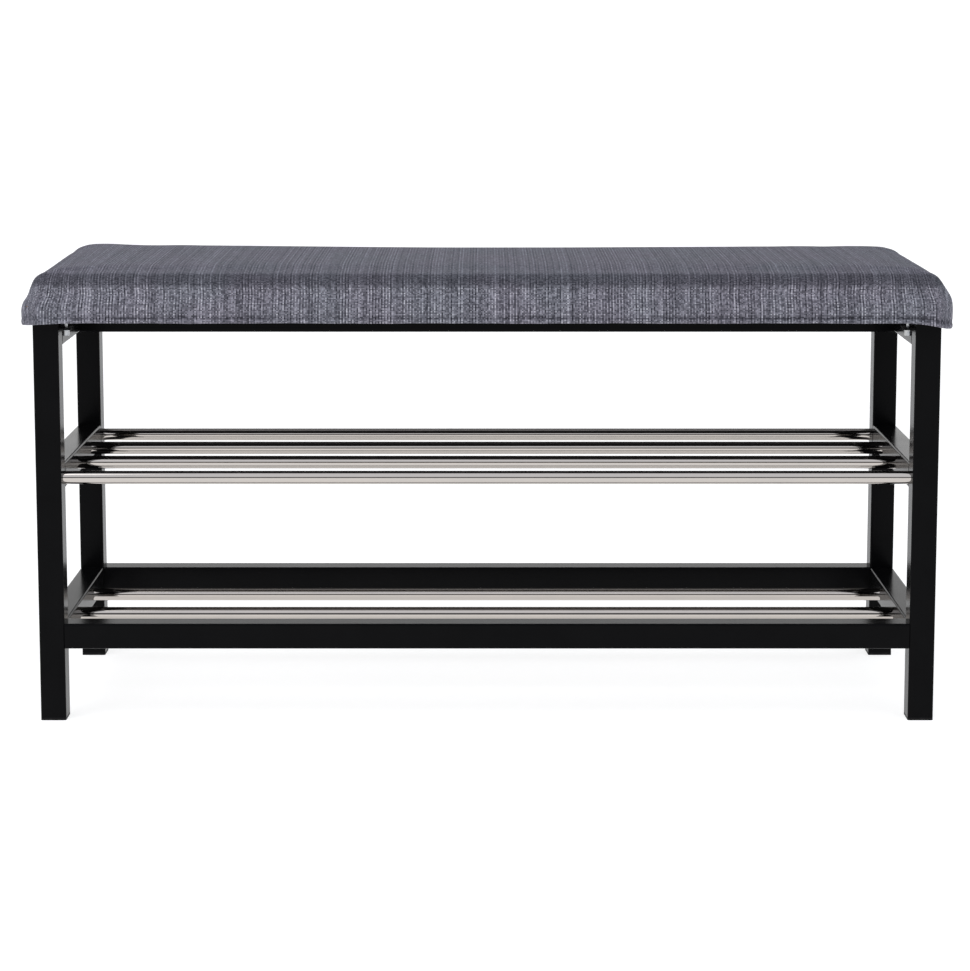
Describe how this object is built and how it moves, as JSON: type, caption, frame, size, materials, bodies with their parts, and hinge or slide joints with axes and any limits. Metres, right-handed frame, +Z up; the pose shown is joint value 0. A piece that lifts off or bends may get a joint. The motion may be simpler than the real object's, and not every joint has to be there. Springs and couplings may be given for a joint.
{
  "type": "entryway bench",
  "caption": "Low entryway bench with a padded fabric seat on a black square-tube frame, with open shoe shelves of chromed round tubes.",
  "frame": {"origin": "on the floor, under the middle of the seat", "axes": "+X along the bench to its right-hand end as seen from the front, +Y from its front to its back, +Z up"},
  "size_m": [0.9, 0.3, 0.445],
  "materials": {
    "frame_black": "semi-gloss black powder coat",
    "shelf_chrome": "polished chrome plating",
    "zinc_hardware": "bright zinc plating",
    "black_plastic": "moulded black",
    "seat_fabric": "woven melange upholstery fabric, grey, blue-grey and near black, with slubs",
    "seat_foam": "cut polyurethane foam",
    "seat_board": "raw fibreboard",
    "dust_cloth": "black spunbond non-woven"
  },
  "bodies": {
    "root": {"bolt_hole_plugs": "black_plastic", "foot_glide_front_left": "black_plastic", "foot_glide_front_right": "black_plastic", "foot_glide_rear_left": "black_plastic", "foot_glide_rear_right": "black_plastic", "leg_front_left": "frame_black", "leg_front_right": "frame_black", "leg_rear_left": "frame_black", "leg_rear_right": "frame_black", "lower_front_rail": "frame_black", "lower_rear_rail": "frame_black", "lower_shelf_side_rail_left": "frame_black", "lower_shelf_side_rail_right": "frame_black", "lower_shelf_tube_1": "shelf_chrome", "lower_shelf_tube_2": "shelf_chrome", "rail_bolts": "zinc_hardware", "rail_inserts": "zinc_hardware", "seat_board": "seat_board", "seat_cover": "seat_fabric", "seat_dust_cloth": "dust_cloth", "seat_foam": "seat_foam", "seat_screw_washers": "zinc_hardware", "seat_screws": "zinc_hardware", "seat_spring_washers": "zinc_hardware", "seat_staples": "zinc_hardware", "seat_tab_front_left": "frame_black", "seat_tab_front_right": "frame_black", "seat_tab_rear_left": "frame_black", "seat_tab_rear_right": "frame_black", "seat_tee_nuts": "zinc_hardware", "shelf_tube_bolts": "zinc_hardware", "shelf_tube_inserts": "zinc_hardware", "top_centre_rail": "frame_black", "top_side_rail_left": "frame_black", "top_side_rail_right": "frame_black", "upper_shelf_side_rail_left": "frame_black", "upper_shelf_side_rail_right": "frame_black", "upper_shelf_tube_1": "shelf_chrome", "upper_shelf_tube_2": "shelf_chrome", "upper_shelf_tube_3": "shelf_chrome", "upper_shelf_tube_4": "shelf_chrome"}
  },
  "joints": []
}
